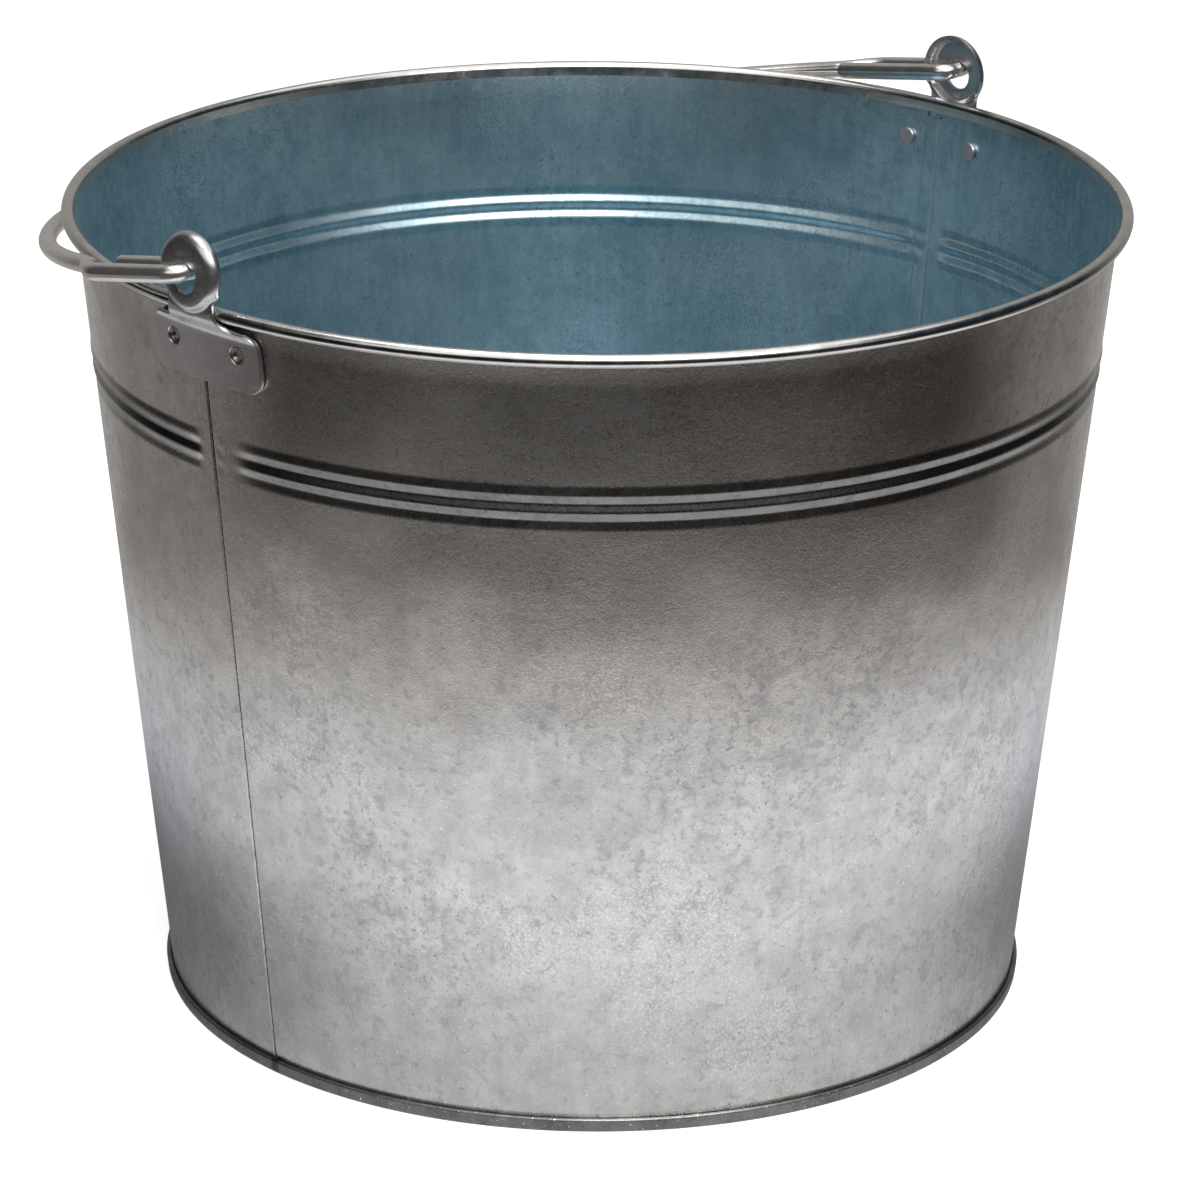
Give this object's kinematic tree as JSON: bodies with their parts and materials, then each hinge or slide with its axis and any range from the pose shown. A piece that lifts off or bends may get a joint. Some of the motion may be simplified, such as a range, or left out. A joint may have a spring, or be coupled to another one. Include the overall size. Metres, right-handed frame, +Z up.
{
  "type": "florist bucket",
  "caption": "Tapered round galvanised steel bucket with lock-seamed walls, twin stiffening bead, wired rim, riveted bail ears and a swinging wire bail.",
  "frame": {"origin": "centre of the base ring, on the floor the bucket stands on (bottom centre of the overall box)", "axes": "+Z up; +X through the right bail ear, along the bail's hinge line; +Y towards the side the bail is lowered to"},
  "size_m": [0.3172, 0.3049, 0.2501],
  "materials": {
    "galvanised": "hot-dip galvanised sheet, mottled fine spangle, satin",
    "galvanised_base": "galvanised sheet, darker and duller where it stands",
    "wire_steel": "plain drawn wire, hidden",
    "plated_ear": "bright zinc-plated pressing",
    "rivet_steel": "bare steel rivet, satin",
    "bright_wire": "bright zinc-plated wire",
    "sealant": "matte seam compound"
  },
  "bodies": {
    "bucket": {"front_wall": "galvanised", "back_wall": "galvanised", "bottom_pan": "galvanised_base", "rim_wire": "wire_steel", "left_ear": "plated_ear", "right_ear": "plated_ear", "left_ear_front_rivet": "rivet_steel", "left_ear_back_rivet": "rivet_steel", "right_ear_front_rivet": "rivet_steel", "right_ear_back_rivet": "rivet_steel", "bottom_seam_sealant": "sealant", "left_seam_sealant": "sealant", "right_seam_sealant": "sealant"},
    "bail": {"bail": "bright_wire"}
  },
  "joints": [
    {"name": "bail_swing", "type": "hinge", "parent": "bucket", "child": "bail", "pos_m": [0, 0, 0.2397], "axis": [1, 0, 0], "range_deg": [0, 200]}
  ]
}
